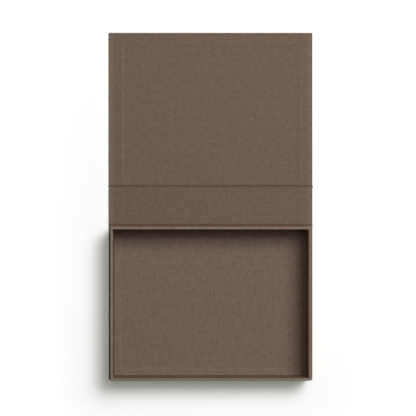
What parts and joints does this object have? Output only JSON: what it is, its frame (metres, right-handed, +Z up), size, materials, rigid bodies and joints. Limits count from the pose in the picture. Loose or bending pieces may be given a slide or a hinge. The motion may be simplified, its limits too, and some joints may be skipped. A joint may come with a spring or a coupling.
{
  "type": "hinged storage box",
  "caption": "Cloth-covered greyboard tray on a book-style case, with a spine and a lid that fold over it on cloth hinges; shown opened out flat.",
  "frame": {"origin": "under the middle of the box opened out flat, on the surface that it lies on", "axes": "+X across the box, +Y from the tray to the lid's far edge, +Z up"},
  "size_m": [0.3212, 0.5452, 0.0554],
  "materials": {
    "book_cloth": "matte woven book linen, taupe brown",
    "lining_cloth": "matte woven book linen, taupe brown",
    "greyboard": "uncoated grey board",
    "kraft_paper": "uncoated kraft paper tape"
  },
  "bodies": {
    "tray": {"base_board": "greyboard", "base_cover_cloth": "book_cloth", "base_lining": "lining_cloth", "base_joint_cloth": "book_cloth", "base_joint_lining": "lining_cloth", "tray_floor_board": "greyboard", "front_wall_board": "greyboard", "back_wall_board": "greyboard", "left_wall_board": "greyboard", "right_wall_board": "greyboard", "front_left_corner_stay": "kraft_paper", "front_right_corner_stay": "kraft_paper", "back_left_corner_stay": "kraft_paper", "back_right_corner_stay": "kraft_paper", "tray_wall_cloth": "book_cloth", "tray_floor_lining": "lining_cloth"},
    "spine": {"spine_board": "greyboard", "spine_cover_cloth": "book_cloth", "spine_lining": "lining_cloth", "lid_joint_cloth": "book_cloth", "lid_joint_lining": "lining_cloth"},
    "lid": {"lid_board": "greyboard", "lid_cover_cloth": "book_cloth", "lid_lining": "lining_cloth"}
  },
  "joints": [
    {"name": "spine_fold", "type": "hinge", "parent": "tray", "child": "spine", "pos_m": [0, -0.02905, 0.00035], "axis": [1, 0, 0], "range_deg": [0, 90], "deforming": ["base_joint_cloth", "base_joint_lining"]},
    {"name": "lid_fold", "type": "hinge", "parent": "spine", "child": "lid", "pos_m": [0, 0.02905, 0.00035], "axis": [1, 0, 0], "range_deg": [0, 90], "deforming": ["lid_joint_cloth", "lid_joint_lining"]}
  ]
}
